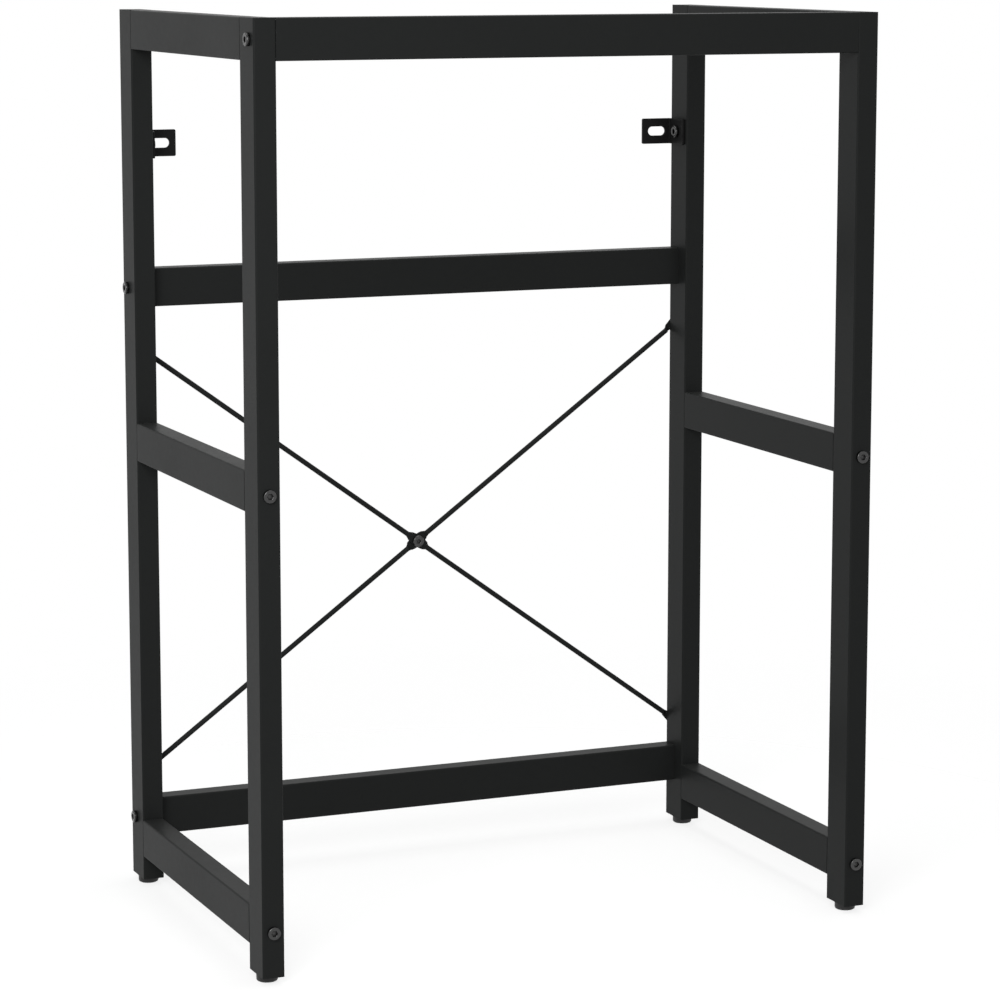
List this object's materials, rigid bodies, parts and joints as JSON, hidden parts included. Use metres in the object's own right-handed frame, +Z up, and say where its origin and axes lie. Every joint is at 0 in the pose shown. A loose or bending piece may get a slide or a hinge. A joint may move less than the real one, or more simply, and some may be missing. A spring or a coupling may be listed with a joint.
{
  "type": "bathroom stand frame",
  "caption": "Open black steel-tube bathroom stand: upright side frames with cross rails, crossed tie rods at the back, slotted wall brackets and levelling feet under the legs.",
  "frame": {"origin": "on the floor, under the middle of the stand", "axes": "+Z up, +Y towards the wall, +X to the right for someone standing in front"},
  "size_m": [0.5966, 0.3866, 0.83],
  "materials": {
    "powder_coated_steel": "fine matt black powder coat",
    "black_bolt_steel": "black coated steel, low sheen",
    "zinc_plated_steel": "bright zinc plating",
    "black_plastic": "moulded black plastic, fine grain"
  },
  "bodies": {
    "frame": {"cross_rail_end_plates": "zinc_plated_steel", "cross_rail_left_bolts": "black_bolt_steel", "cross_rail_nuts": "zinc_plated_steel", "cross_rail_right_bolts": "black_bolt_steel", "falling_tie_rod": "powder_coated_steel", "front_top_rail": "powder_coated_steel", "left_bottom_rail": "powder_coated_steel", "left_front_leg": "powder_coated_steel", "left_middle_rail": "powder_coated_steel", "left_rear_leg": "powder_coated_steel", "left_top_rail": "powder_coated_steel", "left_wall_bracket": "powder_coated_steel", "leg_foot_nuts": "zinc_plated_steel", "leg_foot_plugs": "black_plastic", "leg_top_caps": "powder_coated_steel", "rear_bottom_rail": "powder_coated_steel", "rear_upper_rail": "powder_coated_steel", "right_bottom_rail": "powder_coated_steel", "right_front_leg": "powder_coated_steel", "right_middle_rail": "powder_coated_steel", "right_rear_leg": "powder_coated_steel", "right_top_rail": "powder_coated_steel", "right_wall_bracket": "powder_coated_steel", "rising_tie_rod": "powder_coated_steel", "side_rail_end_plates": "zinc_plated_steel", "side_rail_front_bolts": "black_bolt_steel", "side_rail_nuts": "zinc_plated_steel", "side_rail_rear_bolts": "black_bolt_steel", "tie_rod_centre_bolt": "black_bolt_steel", "tie_rod_centre_nut": "black_bolt_steel", "tie_rod_end_screws": "black_bolt_steel", "tie_rod_rivet_nuts": "zinc_plated_steel", "wall_bracket_bolts": "black_bolt_steel", "wall_bracket_rivet_nuts": "zinc_plated_steel"},
    "left_front_foot": {"left_front_foot_pad": "black_plastic", "left_front_foot_stem": "zinc_plated_steel"},
    "left_rear_foot": {"left_rear_foot_pad": "black_plastic", "left_rear_foot_stem": "zinc_plated_steel"},
    "right_front_foot": {"right_front_foot_pad": "black_plastic", "right_front_foot_stem": "zinc_plated_steel"},
    "right_rear_foot": {"right_rear_foot_pad": "black_plastic", "right_rear_foot_stem": "zinc_plated_steel"}
  },
  "joints": [
    {"name": "left_front_foot_levelling", "type": "slide", "parent": "frame", "child": "left_front_foot", "axis": [0, 0, -1], "range_m": [0, 0.012]},
    {"name": "left_rear_foot_levelling", "type": "slide", "parent": "frame", "child": "left_rear_foot", "axis": [0, 0, -1], "range_m": [0, 0.012]},
    {"name": "right_front_foot_levelling", "type": "slide", "parent": "frame", "child": "right_front_foot", "axis": [0, 0, -1], "range_m": [0, 0.012]},
    {"name": "right_rear_foot_levelling", "type": "slide", "parent": "frame", "child": "right_rear_foot", "axis": [0, 0, -1], "range_m": [0, 0.012]}
  ]
}
